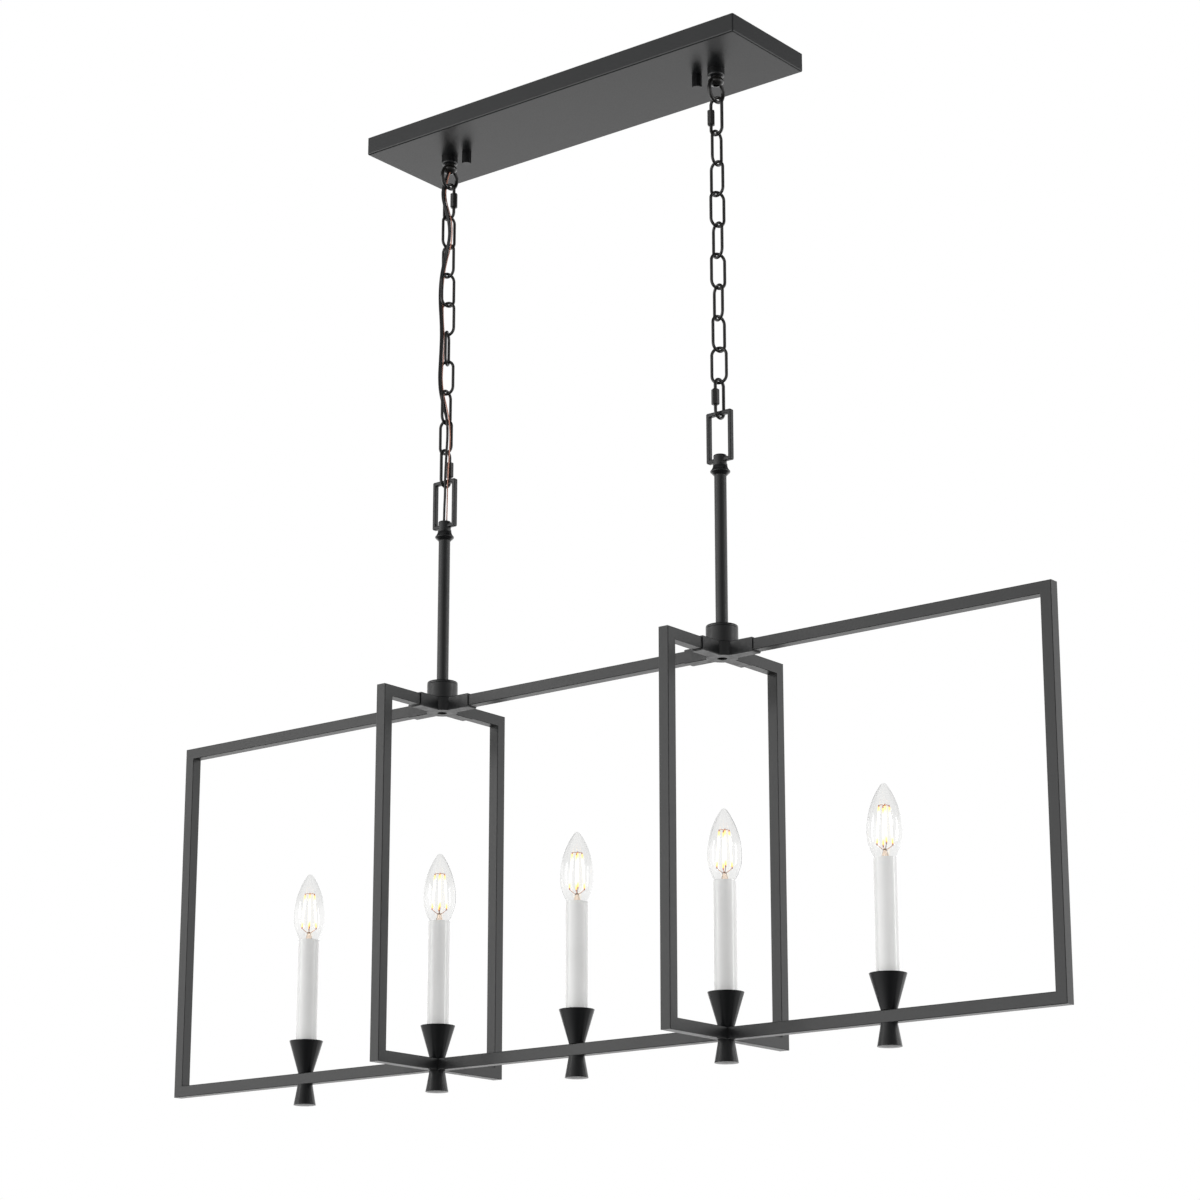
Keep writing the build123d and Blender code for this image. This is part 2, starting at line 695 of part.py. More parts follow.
def candle_nipple(x):
    """Lamp pipe that clamps the cup, the bar and the finial and carries the socket."""
    low = frame_bottom - finial_bore_depth + fit_gap
    high = socket_bottom + nipple_engagement - fit_gap
    return revolved([(pipe_bore / 2, low), (pipe_thread / 2, low), (pipe_thread / 2, high), (pipe_bore / 2, high)], x)


def candle_finial(x):
    """Cone below the bar, bored from above and slightly domed underneath."""
    with BuildPart() as finial:
        with BuildSketch(Plane(origin=(x, 0, frame_bottom), x_dir=(1, 0, 0), z_dir=(0, -1, 0))):
            with BuildLine():
                Polyline(
                    (0, -finial_height - finial_dome),
                    (0, -finial_bore_depth),
                    (pipe_hole, -finial_bore_depth),
                    (pipe_hole, 0),
                    (finial_top_diameter / 2, 0),
                    (finial_bottom_diameter / 2, -finial_height),
                )
                RadiusArc((finial_bottom_diameter / 2, -finial_height), (0, -finial_height - finial_dome), dome_radius)
            make_face()
        revolve(axis=Axis((x, 0, 0), (0, 0, 1)))
    return finial.part


def glass_body(x, inset):
    """Torpedo from side, tip and shoulder arcs that meet smoothly, drawn smaller by inset all round."""
    radius = bulb_diameter / 2
    rise = bulb_height - bulb_widest
    reach = bulb_side_radius - radius
    tip = (bulb_side_radius ** 2 - reach ** 2 - rise ** 2) / (2 * (bulb_side_radius - rise))
    side_angle = degrees(atan2(rise - tip, reach))
    neck = radius - bulb_neck_radius
    shoulder = (bulb_widest ** 2 + neck ** 2) / (2 * neck)
    shoulder_angle = degrees(asin(bulb_widest / shoulder))
    widest = (radius - inset, bulb_widest)
    foot = bulb_cap_diameter / 2 - inset
    with BuildPart() as body:
        with BuildSketch(Plane(origin=(x, 0, sleeve_end), x_dir=(1, 0, 0), z_dir=(0, -1, 0))):
            with BuildLine():
                side = JernArc(widest, (0, 1), bulb_side_radius - inset, side_angle)
                top = JernArc(side @ 1, side % 1, tip - inset, 90 - side_angle)
                low = JernArc(widest, (0, -1), shoulder - inset, -shoulder_angle)
                Polyline(low @ 1, (foot, -bulb_cap_drop), (0, -bulb_cap_drop), top @ 1)
            make_face()
        revolve(axis=Axis((x, 0, 0), (0, 0, 1)))
    return body.part


def rod(start, end, radius):
    """Round rod between two points."""
    along = Vector(end) - Vector(start)
    with BuildPart() as piece:
        with BuildSketch(Plane(origin=start, z_dir=along)):
            Circle(radius)
        extrude(amount=along.length)
    return piece.part


def filament_cage(x):
    """Glass mount with a centre wire and four leaning filaments, each held by a lead at both ends."""
    mount_top = sleeve_end + mount_height
    fork = (x, 0, mount_top - mount_head_radius)
    crown = (x, 0, sleeve_end + filament_high)
    with BuildPart() as cage:
        add(revolved([
            (0, sleeve_end - bulb_cap_drop),
            (mount_foot_radius, sleeve_end - bulb_cap_drop),
            (mount_head_radius, mount_top),
            (0, mount_top),
        ], x))
        add(rod(fork, (x, 0, sleeve_end + filament_high + filament_radius), lead_radius))
        for number in range(filament_count):
            angle = radians(45 + number * 360 / filament_count)
            low = (
                x + filament_low_radius * cos(angle),
                filament_low_radius * sin(angle),
                sleeve_end + filament_low,
            )
            high = (
                x + filament_high_radius * cos(angle),
                filament_high_radius * sin(angle),
                sleeve_end + filament_high,
            )
            add(rod(low, high, filament_radius))
            add(rod(fork, low, lead_radius))
            add(rod(crown, high, lead_radius))
    return cage.part


def bulb_cap(x):
    """Screw cap, under the glass and clear of the socket's thread."""
    with BuildPart() as cap:
        with BuildSketch(Plane.XY.offset(sleeve_end - bulb_cap_drop)):
            with Locations((x, 0)):
                Circle(bulb_cap_diameter / 2)
        extrude(amount=-bulb_cap_length)
        chamfer(cap.faces().sort_by(Axis.Z)[0].edges(), bulb_cap_chamfer)
    return cap.part


pipe_hole = pipe_thread / 2 + fit_gap
cup_lean = (cup_rim_diameter - cup_foot_diameter) / 2 / cup_height
cup_skin = cup_wall * hypot(1, cup_lean)
seat_radius = sleeve_diameter / 2 + sleeve_play
sleeve_bottom = bottom_bar_top + (seat_radius + cup_skin - cup_foot_diameter / 2) / cup_lean
socket_top = sleeve_end - socket_below_sleeve
socket_bottom = socket_top - socket_length
dome_radius = ((finial_bottom_diameter / 2) ** 2 + finial_dome ** 2) / (2 * finial_dome)

save(Compound(children=[candle_cup(x) for x in candle_places]), "candle_cups")
save(Compound(children=[candle_sleeve(x) for x in candle_places]), "candle_sleeves")
save(Compound(children=[lamp_socket(x) for x in candle_places]), "lamp_sockets")
save(Compound(children=[*nipples, *[candle_nipple(x) for x in candle_places]]), "lamp_pipes")
save(Compound(children=[candle_finial(x) for x in candle_places]), "candle_finials")

for number, x in enumerate(candle_places, start=1):
    with BuildPart() as envelope:
        add(glass_body(x, 0))
        add(glass_body(x, bulb_glass), mode=Mode.SUBTRACT)
    save(Compound(children=[envelope.part, bulb_cap(x), filament_cage(x)]), f"bulb_{number}")


# ================================================================ cord
def stretch(route, first_run, last_run):
    """Points of the route from the middle of one run to the middle of another, or to an end of the route."""
    points = [Vector(*point) + Vector(-hub_x, 0, 0) for point in route]
    begin = points[0] if first_run is None else (points[first_run] + points[first_run + 1]) / 2
    end = points[-1] if last_run is None else (points[last_run] + points[last_run + 1]) / 2
    first = 1 if first_run is None else first_run + 1
    last = len(points) - 1 if last_run is None else last_run + 1
    return begin, end, points, range(first, last)


def bend_radius(points, number):
    """Arc as large as both runs at a point allow."""
    before = points[number] - points[number - 1]
    after = points[number + 1] - points[number]
    return 0.45 * min(before.length, after.length) / tan(radians(before.get_angle(after)) / 2)


def wire_tube(route, diameter, first_run, last_run):
    """Round tube along one stretch of a route, with an arc at each of its points."""
    begin, end, points, numbers = stretch(route, first_run, last_run)
    radii = [bend_radius(points, number) for number in numbers]
    with BuildPart() as piece:
        with BuildLine() as path:
            FilletPolyline(begin, *[points[number] for number in numbers], end, radius=radii)
        with BuildSketch(Plane(origin=path.line @ 0, z_dir=path.line % 0)):
            Circle(diameter / 2)
        sweep()
    length = path.wires()[0].length
    section = pi * (diameter / 2) ** 2
    print("radii", [round(radius, 1) for radius in radii])
    print("length", round(length, 1), "volume over section times length", round(piece.part.volume / section / length, 4))
    return piece.part


start = None
for name, run_number in zip(cord_names, (*cord_run_numbers, None)):
    end = None if run_number is None else int(run_number)
    cord = wire_tube(cord_route, cord_diameter, start, end)
    ground = wire_tube(ground_route, ground_diameter, start, end)
    save(Compound(children=[cord, ground]), name)
    start = end
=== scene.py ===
from math import asin, atan2, cos, pi, radians, sin

import bmesh
import bpy
from mathutils import Matrix, Vector


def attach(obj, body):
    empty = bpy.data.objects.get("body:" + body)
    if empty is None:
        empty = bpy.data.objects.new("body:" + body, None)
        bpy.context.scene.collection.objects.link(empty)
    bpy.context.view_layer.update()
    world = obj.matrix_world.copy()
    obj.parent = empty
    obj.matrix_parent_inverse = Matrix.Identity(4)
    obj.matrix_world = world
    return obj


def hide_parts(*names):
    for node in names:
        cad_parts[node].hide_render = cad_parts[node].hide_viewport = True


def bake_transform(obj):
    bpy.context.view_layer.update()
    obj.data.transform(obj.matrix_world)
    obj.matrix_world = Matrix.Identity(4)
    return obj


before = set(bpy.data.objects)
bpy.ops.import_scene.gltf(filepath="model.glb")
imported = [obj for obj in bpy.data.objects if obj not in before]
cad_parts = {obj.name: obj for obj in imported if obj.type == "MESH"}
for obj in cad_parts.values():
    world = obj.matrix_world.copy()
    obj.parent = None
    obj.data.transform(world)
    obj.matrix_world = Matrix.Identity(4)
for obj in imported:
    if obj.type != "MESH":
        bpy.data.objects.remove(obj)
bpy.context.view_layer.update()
MM = 0.001
LEFT = -0.185                    # x of the left chain, in metres

scene = bpy.context.scene
collection = scene.collection
scene.view_settings.view_transform = "Standard"


# ------------------------------------------------------------------ camera
# Worked out from the edges of the canopy and the cage in the photograph.
camera_place = Vector((1.9917, -2.4722, -1.4577))
yaw, pitch = radians(38.437), radians(15.713)
focal_length, sensor_width = 95.30, 36.0
sight_limit = 60.0

forward = Vector((-sin(yaw) * cos(pitch), cos(yaw) * cos(pitch), sin(pitch)))
side = Vector((cos(yaw), sin(yaw), 0))
upward = side.cross(forward)
camera = bpy.data.objects.new("camera", bpy.data.cameras.new("camera"))
collection.objects.link(camera)
camera.data.lens = focal_length
camera.data.sensor_width = sensor_width
camera.data.clip_end = sight_limit
camera.data.shift_y = -0.0017
turn = Matrix((side, upward, -forward)).transposed().to_4x4()
camera.matrix_world = Matrix.Translation(camera_place) @ turn
scene.camera = camera


# ------------------------------------------------------------------ materials
def shader(name):
    """New material with its node tree and its principled shader."""
    made = bpy.data.materials.new(name)
    made.use_nodes = True
    tree = made.node_tree
    return made, tree, tree.nodes["Principled BSDF"]


def node(tree, kind, **values):
    """New node; each value goes on the input of that name, or else on the node itself."""
    made = tree.nodes.new(kind)
    for key, value in values.items():
        if key in made.inputs:
            made.inputs[key].default_value = value
        else:
            setattr(made, key, value)
    return made


def noise(tree, coords, scale, detail, rough, stretch=(1, 1, 1)):
    """Noise in the object's own coordinates; a stretch below 1 draws it out along that axis."""
    mapping = node(tree, "ShaderNodeMapping")
    mapping.inputs["Scale"].default_value = stretch
    tree.links.new(coords.outputs["Object"], mapping.inputs["Vector"])
    made = node(tree, "ShaderNodeTexNoise", Scale=scale, Detail=detail, Roughness=rough)
    tree.links.new(mapping.outputs["Vector"], made.inputs["Vector"])
    return made


def rgba(value):
    """A grey or a colour, with full alpha."""
    return (value, value, value, 1) if isinstance(value, (int, float)) else (*value, 1)


def colour_ramp(tree, source, stops, interpolation="LINEAR"):
    """Colour ramp through stops, each a place and the grey or colour at it."""
    made = tree.nodes.new("ShaderNodeValToRGB")
    bar = made.color_ramp
    bar.interpolation = interpolation
    while len(bar.elements) < len(stops):
        bar.elements.new(0.5)
    for element, (place, value) in zip(bar.elements, stops):
        element.position = place
        element.color = rgba(value)
    tree.links.new(source, made.inputs["Fac"])
    return made


def ramp(tree, source, low, high, a, b):
    """Colour ramp from a at low to b at high; a and b are greys or colours."""
    return colour_ramp(tree, source, ((low, a), (high, b)))


def bump(tree, source, strength, distance, under=None):
    """Bump from a source, laid over another bump where one is given."""
    made = node(tree, "ShaderNodeBump", Strength=strength, Distance=distance)
    tree.links.new(source, made.inputs["Height"])
    if under is not None:
        tree.links.new(under.outputs["Normal"], made.inputs["Normal"])
    return made


def feed(tree, principled, colour, gloss, relief):
    """Puts a colour, a roughness and a bump on the principled shader."""
    tree.links.new(colour, principled.inputs["Base Color"])
    tree.links.new(gloss.outputs["Color"], principled.inputs["Roughness"])
    tree.links.new(relief.outputs["Normal"], principled.inputs["Normal"])


def coated_metal(name, dark, light, rough, grain, depth, sheen=0.0, specular=None):
    """Satin black coating: fine orange peel, slow change of tone and gloss, and a few dust specks in it."""
    made, tree, principled = shader(name)
    coords = node(tree, "ShaderNodeTexCoord")
    slow = noise(tree, coords, scale=14.0, detail=4.0, rough=0.6)
    fine = noise(tree, coords, scale=grain, detail=2.0, rough=0.55)
    speck = noise(tree, coords, scale=grain * 0.23, detail=5.0, rough=0.7)
    tone = ramp(tree, slow.outputs["Fac"], 0.32, 0.70, dark, light)
    dust = ramp(tree, speck.outputs["Fac"], 0.70, 0.80, 0.0, 0.5)
    mix = node(tree, "ShaderNodeMix", data_type="RGBA")
    tree.links.new(dust.outputs["Color"], mix.inputs["Factor"])
    tree.links.new(tone.outputs["Color"], mix.inputs["A"])
    mix.inputs["B"].default_value = (0.030, 0.031, 0.032, 1)
    gloss = ramp(tree, speck.outputs["Fac"], 0.30, 0.72, *rough)
    relief = bump(tree, fine.outputs["Fac"], strength=0.30, distance=depth)
    relief = bump(tree, slow.outputs["Fac"], strength=0.10, distance=0.0004, under=relief)
    feed(tree, principled, mix.outputs["Result"], gloss, relief)
    if sheen:
        principled.inputs["Coat Weight"].default_value = sheen
        principled.inputs["Coat Roughness"].default_value = 0.16
    if specular is not None:
        principled.inputs["Specular IOR Level"].default_value = specular
    return made


def plated_steel(name, colour, rough):
    """Zinc plated steel with a spangle in tone and drawn lines along it."""
    made, tree, principled = shader(name)
    coords = node(tree, "ShaderNodeTexCoord")
    patch = noise(tree, coords, scale=160.0, detail=3.0, rough=0.6)
    lines = noise(tree, coords, scale=240.0, detail=2.0, rough=0.5, stretch=(0.05, 1, 1))
    tone = ramp(tree, patch.outputs["Fac"], 0.3, 0.7, tuple(c * 0.8 for c in colour), colour)
    gloss = ramp(tree, lines.outputs["Fac"], 0.3, 0.7, rough * 0.8, rough * 1.3)
    relief = bump(tree, lines.outputs["Fac"], strength=0.12, distance=0.0001)
    feed(tree, principled, tone.outputs["Color"], gloss, relief)
    principled.inputs["Metallic"].default_value = 1.0
    return made


def moulded(name, low, high, rough, depth=0.00004, soft=0.0, coat=0.0):
    """Moulded plastic: a faint change of tone, fine texture, and some light carried inside it."""
    made, tree, principled = shader(name)
    coords = node(tree, "ShaderNodeTexCoord")
    slow = noise(tree, coords, scale=30.0, detail=3.0, rough=0.5)
    fine = noise(tree, coords, scale=1400.0, detail=2.0, rough=0.5)
    tone = ramp(tree, slow.outputs["Fac"], 0.3, 0.7, low, high)
    gloss = ramp(tree, slow.outputs["Fac"], 0.2, 0.8, rough * 0.9, rough * 1.15)
    relief = bump(tree, fine.outputs["Fac"], strength=0.2, distance=depth)
    feed(tree, principled, tone.outputs["Color"], gloss, relief)
    if soft:
        principled.inputs["Subsurface Weight"].default_value = soft
        principled.inputs["Subsurface Radius"].default_value = (0.004, 0.004, 0.004)
    if coat:
        principled.inputs["Coat Weight"].default_value = coat
        principled.inputs["Coat Roughness"].default_value = 0.12
    return made


def clear_glass(name, tint, rough=0.0, depth=0.0, clear=1.0):
    """Clear glass, a trace uneven in tone; with a depth it darkens where the eye looks through more of it."""
    made, tree, principled = shader(name)
    coords = node(tree, "ShaderNodeTexCoord")
    waves = noise(tree, coords, scale=40.0, detail=1.0, rough=0.4, stretch=(1, 1, 0.35))
    tone = ramp(tree, waves.outputs["Fac"], 0.3, 0.7, tuple(c * 0.985 for c in tint), tint)
    tree.links.new(tone.outputs["Color"], principled.inputs["Base Color"])
    principled.inputs["Transmission Weight"].default_value = clear
    principled.inputs["Roughness"].default_value = rough
    principled.inputs["IOR"].default_value = 1.46
    if depth:
        inside = node(tree, "ShaderNodeVolumeAbsorption", Color=(0.5, 0.5, 0.51, 1), Density=depth)
        tree.links.new(inside.outputs["Volume"], tree.nodes["Material Output"].inputs["Volume"])
    return made


def drawn_metal(name, low, high, rough, scale=900.0):
    """Bare metal wire or pressed sheet with a fine grain."""
    made, tree, principled = shader(name)
    coords = node(tree, "ShaderNodeTexCoord")
    grain = noise(tree, coords, scale=scale, detail=3.0, rough=0.6)
    tone = ramp(tree, grain.outputs["Fac"], 0.3, 0.7, low, high)
    gloss = ramp(tree, grain.outputs["Fac"], 0.3, 0.7, rough * 0.8, rough * 1.3)
    relief = bump(tree, grain.outputs["Fac"], strength=0.1, distance=0.00005)
    feed(tree, principled, tone.outputs["Color"], gloss, relief)
    principled.inputs["Metallic"].default_value = 1.0
    return made


def lit_filament(name):
    """Phosphor stick: white-hot along its length, deeper yellow towards both ends."""
    made, tree, principled = shader(name)
    coords = node(tree, "ShaderNodeTexCoord")
    split = node(tree, "ShaderNodeSeparateXYZ")
    tree.links.new(coords.outputs["Generated"], split.inputs["Vector"])
    amber, yellow, white = (1.0, 0.50, 0.08), (1.0, 0.72, 0.22), (1.0, 0.95, 0.82)
    tone = colour_ramp(tree, split.outputs["Z"], (
        (0.0, amber), (0.09, yellow), (0.20, white), (0.80, white), (0.91, yellow), (1.0, amber)))
    tree.links.new(tone.outputs["Color"], principled.inputs["Emission Color"])
    principled.inputs["Emission Strength"].default_value = 1.6
    principled.inputs["Base Color"].default_value = (0.9, 0.72, 0.3, 1)
    principled.inputs["Roughness"].default_value = 0.6
    return made


sheet_black = coated_metal("black_coat_sheet", (0.0085, 0.0092, 0.0100), (0.0115, 0.0122, 0.0130),
                           rough=(0.31, 0.41), grain=2600.0, depth=0.00003)
tube_black = coated_metal("black_coat_tube", (0.0095, 0.0102, 0.0105), (0.0145, 0.0152, 0.0155),
                          rough=(0.34, 0.46), grain=2200.0, depth=0.00004)
cast_black = coated_metal("black_coat_casting", (0.0085, 0.0090, 0.0095), (0.0140, 0.0145, 0.0150),
                          rough=(0.34, 0.50), grain=900.0, depth=0.00008)
chain_black = coated_metal("black_enamel_chain", (0.0070, 0.0068, 0.0064), (0.0140, 0.0128, 0.0116),
                           rough=(0.28, 0.42), grain=700.0, depth=0.00004, sheen=0.10)
turned_black = coated_metal("black_coat_turned", (0.0055, 0.0060, 0.0066), (0.0085, 0.0090, 0.0096),
                            rough=(0.27, 0.38), grain=1800.0, depth=0.00004)
# Copy of the turned coat for the candle cups, painted darker and given weaker reflection as painted shade,
# since the cups face downward.
cup_black_painted_shade = coated_metal("black_coat_cup_painted_shade", (0.0040, 0.0044, 0.0050), (0.0062, 0.0067, 0.0074),
                         rough=(0.27, 0.38), grain=1800.0, depth=0.00004, specular=0.2)
finial_black = coated_metal("black_coat_finial", (0.0095, 0.0100, 0.0106), (0.0140, 0.0146, 0.0152),
                            rough=(0.30, 0.42), grain=1800.0, depth=0.00004)
zinc = plated_steel("zinc_plate", (0.62, 0.62, 0.60), rough=0.32)
sleeve_white = moulded("candle_cover", (0.87, 0.87, 0.86), (0.91, 0.91, 0.90),
                       rough=0.18, soft=0.05, coat=0.35)
socket_black = moulded("socket_phenolic", (0.02, 0.018, 0.017), (0.035, 0.032, 0.03), rough=0.42)
connector = moulded("wire_connector", (0.60, 0.26, 0.04), (0.78, 0.36, 0.06), rough=0.38)
cord_black = moulded("cord_cover", (0.0050, 0.0052, 0.0056), (0.0090, 0.0092, 0.0096),
                     rough=0.45, depth=0.00005)
glass = clear_glass("bulb_glass", (0.985, 0.985, 0.98), depth=90.0)
mount_glass = clear_glass("mount_glass", (0.97, 0.80, 0.66), rough=0.08)
wire_cover = clear_glass("ground_wire_cover", (0.75, 0.38, 0.28), rough=0.25, clear=0.35)
copper = drawn_metal("copper", (0.62, 0.26, 0.14), (0.86, 0.42, 0.25), rough=0.28)
brass = drawn_metal("brass", (0.60, 0.42, 0.16), (0.80, 0.60, 0.28), rough=0.26, scale=500.0)
solder = drawn_metal("solder", (0.50, 0.50, 0.50), (0.70, 0.70, 0.70), rough=0.35, scale=500.0)
insulator = moulded("cap_insulator", (0.012, 0.012, 0.014), (0.03, 0.03, 0.034), rough=0.2)
filament = lit_filament("filament")

looks = {
    "canopy_pan": sheet_black, "ceiling_crossbar": zinc, "crossbar_screws": zinc, "loop_locknuts": zinc,
    "lamp_pipes": zinc, "wire_nuts": connector, "candle_sleeves": sleeve_white, "lamp_sockets": socket_black,
    "top_hubs": cast_black, "bottom_hubs": cast_black, "hub_caps": turned_black, "stem_loops": cast_black,
    "stem_collars": turned_black, "candle_cups": cup_black_painted_shade, "candle_finials": finial_black,
}
for name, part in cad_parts.items():
    look = looks.get(name, tube_black)
    if name.startswith(("chain_link", "quick_", "hang_loop")):
        look = chain_black
    elif name.startswith(("thumb_nut", "loop_collar")):
        look = turned_black
    part.data.materials.clear()
    part.data.materials.append(look)


# ------------------------------------------------------------------ mesh helpers
def mesh_piece(name, verts, faces, material, smooth=True):
    """Object of one material, with its faces turned outward."""
    mesh = bpy.data.meshes.new(name)
    mesh.from_pydata(verts, [], faces)
    mesh.validate()
    bm = bmesh.new()
    bm.from_mesh(mesh)
    bmesh.ops.recalc_face_normals(bm, faces=bm.faces)
    bm.to_mesh(mesh)
    bm.free()
    if smooth:
        mesh.shade_smooth()
    made = bpy.data.objects.new(name, mesh)
    collection.objects.link(made)
    mesh.materials.append(material)
    return made


def lathe(name, profile, x, material, steps):
    """Closed surface of revolution about the upright line at x, from radii and levels."""
    verts, rings = [], []
    for radius, level in profile:
        if radius < 1e-7:
            rings.append([len(verts)])
            verts.append((x, 0, level))
        else:
            rings.append(list(range(len(verts), len(verts) + steps)))
            for k in range(steps):
                angle = 2 * pi * k / steps
                verts.append((x + radius * cos(angle), radius * sin(angle), level))
    faces = []
    for a, b in zip(rings, rings[1:]):
        for k in range(steps):
            n = (k + 1) % steps
            if len(a) == 1 and len(b) > 1:
                faces.append((a[0], b[k], b[n]))
            elif len(b) == 1 and len(a) > 1:
                faces.append((a[k], b[0], a[n]))
            elif len(a) > 1:
                faces.append((a[k], b[k], b[n], a[n]))
    return mesh_piece(name, verts, faces, material)


def smooth_line(points):
    """Points along the NURBS spline whose control points are given."""
    curve = bpy.data.curves.new("route", "CURVE")
    curve.dimensions = "3D"
    spline = curve.splines.new("NURBS")
    spline.points.add(len(points) - 1)
    for place, point in zip(spline.points, points):
        place.co = (*point, 1)
    spline.order_u = 3
    spline.use_endpoint_u = True
    spline.resolution_u = 10
    holder = bpy.data.objects.new("route", curve)
    line = bpy.data.meshes.new_from_object(holder)
    found = [v.co.copy() for v in line.vertices]
    bpy.data.objects.remove(holder)
    bpy.data.curves.remove(curve)
    bpy.data.meshes.remove(line)
    return found


def direction(line, k):
    """Unit direction of a line at its point k."""
    return (line[min(k + 1, len(line) - 1)] - line[max(k - 1, 0)]).normalized()


def skin(name, verts, count, material):
    """Closed tube over rings of count points each."""
    faces = [tuple(range(count)), tuple(range(len(verts) - count, len(verts)))]
    for first in range(0, len(verts) - count, count):
        for j in range(count):
            n = (j + 1) % count
            faces.append((first + j, first + n, first + count + n, first + count + j))
    return mesh_piece(name, verts, faces, material)


def tube(name, line, section, material):
    """Closed tube along a line, its section carried from point to point without twist."""
    verts = []
    tangent = (line[1] - line[0]).normalized()
    across = tangent.orthogonal().normalized()
    for k, point in enumerate(line):
        fresh = direction(line, k)
        across = (tangent.rotation_difference(fresh) @ across).normalized()
        tangent = fresh
        other = tangent.cross(across)
        verts += [point + across * u + other * v for u, v in section]
    return skin(name, verts, len(section), material)


def circle(radius, count):
    """Round section of a tube."""
    return [(radius * cos(2 * pi * k / count), radius * sin(2 * pi * k / count)) for k in range(count)]


def joined(name, parts):
    """One object from several, keeping each one's material."""
    target = parts[0]
    bm = bmesh.new()
    slots = []
    for part in parts:
        for slot in part.data.materials:
            if slot not in slots:
                slots.append(slot)
    for part in parts:
        before = len(bm.faces)
        bm.from_mesh(part.data)
        bm.faces.ensure_lookup_table()
        for face in bm.faces[before:]:
            face.material_index = slots.index(part.data.materials[face.material_index])
    bm.to_mesh(target.data)
    bm.free()
    target.data.materials.clear()
    for slot in slots:
        target.data.materials.append(slot)
    target.name = name
    for part in parts[1:]:
        bpy.data.objects.remove(part)
    return target


# ------------------------------------------------------------------ cord on the left chain
# control points of the flat cord and of the ground wire, in mm from the left chain's line and the ceiling
cord_route = (
    (-0.5, -0.4, -33.0), (-0.9, -0.7, -40.5), (-3.4, -3.2, -49.5), (-5.0, -5.4, -61.5),
    (-2.7, -6.1, -75.0), (2.2, -5.8, -88.5), (4.9, -4.6, -103.0), (5.1, -4.1, -116.5),
    (2.9, -4.5, -130.5), (-1.9, -4.6, -146.5), (-6.1, -4.2, -163.0), (-7.2, -4.4, -179.5),
    (-5.8, -5.6, -196.0), (-4.0, -5.8, -213.0), (-3.4, -5.4, -230.0), (-4.0, -5.1, -247.0),
    (-4.5, -5.5, -264.5), (-5.2, -5.7, -282.0), (-4.0, -5.2, -299.0), (0.0, -3.7, -316.0),
    (5.3, -4.2, -333.5), (5.8, -4.0, -350.5), (5.2, -4.5, -367.5), (5.1, -5.4, -385.0),
    (4.5, -5.6, -402.0), (2.6, -3.1, -417.0), (-0.4, -0.6, -431.5), (-0.6, -0.5, -445.0),
)
ground_route = (
    (2.0, 0.5, -33.0), (1.5, -1.9, -40.5), (0.2, -3.7, -49.5), (-4.9, -0.8, -61.5),
    (-2.2, -1.6, -75.0), (3.3, -2.7, -88.5), (7.3, -3.1, -103.0), (7.9, -3.3, -116.5),
    (5.8, -3.1, -130.5), (-1.3, -1.7, -146.5), (-3.9, -2.5, -163.0), (-4.4, -3.9, -179.5),
    (-3.5, -3.8, -196.0), (-4.8, -1.8, -213.0), (-1.9, -3.1, -230.0), (-1.3, -3.6, -247.0),
    (-2.5, -3.5, -264.5), (-4.3, -3.1, -282.0), (-2.6, -2.5, -299.0), (4.8, -5.3, -316.0),
    (7.9, -3.8, -333.5), (8.5, -2.8, -350.5), (8.1, -3.0, -367.5), (7.6, -3.9, -385.0),
    (6.8, -4.0, -402.0), (5.1, -2.1, -417.0), (2.9, 0.2, -431.5), (1.4, 1.7, -445.0),
)
# each stretch: its node and the level where it ends; then, where it bends across a joint, the body above, the
# body below and the two levels that it bends between, or None where it rides on the chain
stretches = (
    ("cord_exit", -68.25, ("canopy", "quick_link_top_left", -43.0, -66.0)),
    ("cord_top", -109.75, ("quick_link_top_left", "chain_link_left_1", -79.0, -104.0)),
    ("cord_chain", -342.0, None),
    ("cord_bottom", -376.25, ("chain_link_left_1", "quick_link_bottom_left", -352.0, -374.0)),
    ("cord_tail", -445.0, ("quick_link_bottom_left", "cage", -386.0, -436.0)),
)
# how many degrees the flat cord is turned about its own line, by level
cord_turns = ((-33.0, 30), (-90.0, 30), (-120.0, 45), (-150.0, 0), (-300.0, 0), (-335.0, 75), (-445.0, 80))
# the way that the flat cord's width points where it isn't turned: level, and square to the camera's view
cord_across = Vector((0.783, 0.622, 0))
flex_width, ground_width = 4.2, 1.3           # across the flat cord and the ground wire, in mm


def twin_section(lobe, apart, count=12):
    """Two round conductors side by side with a groove between them, as on flat lamp cord."""
    half_arc = 128                            # degrees of a lobe on each side of its outermost point
    points = []
    for centre, first in ((apart, -half_arc), (-apart, 180 - half_arc)):
        for k in range(count):
            angle = radians(first + 2 * half_arc * k / (count - 1))
            points.append((centre + lobe * cos(angle), lobe * sin(angle)))
    return points


def turn_at(level):
    """Turn of the flat cord at a level, easing from one listed level to the next."""
    for (high, a), (low, b) in zip(cord_turns, cord_turns[1:]):
        if level >= low * MM:
            t = min(1.0, max(0.0, (high * MM - level) / ((high - low) * MM)))
            return radians(a + (b - a) * t * t * (3 - 2 * t))
    return radians(cord_turns[-1][1])


def along(name, line, first, last, section, material, turned=False):
    """The part of a tube between two points of its line; parts cut at the same point meet exactly."""
    verts = []
    for k in range(first, last + 1):
        tangent = direction(line, k)
        across = (cord_across - tangent * cord_across.dot(tangent)).normalized()
        other = tangent.cross(across)
        angle = turn_at(line[k].z) if turned else 0.0
        for u, v in section:
            sideways, outward = u * cos(angle) - v * sin(angle), u * sin(angle) + v * cos(angle)
            verts.append(line[k] + across * sideways + other * outward)
    return skin(name, verts, len(section), material)


def route_line(route):
    """Line of a route given in mm from the left chain's line."""
    return smooth_line([Vector((x * MM + LEFT, y * MM, z * MM)) for x, y, z in route])


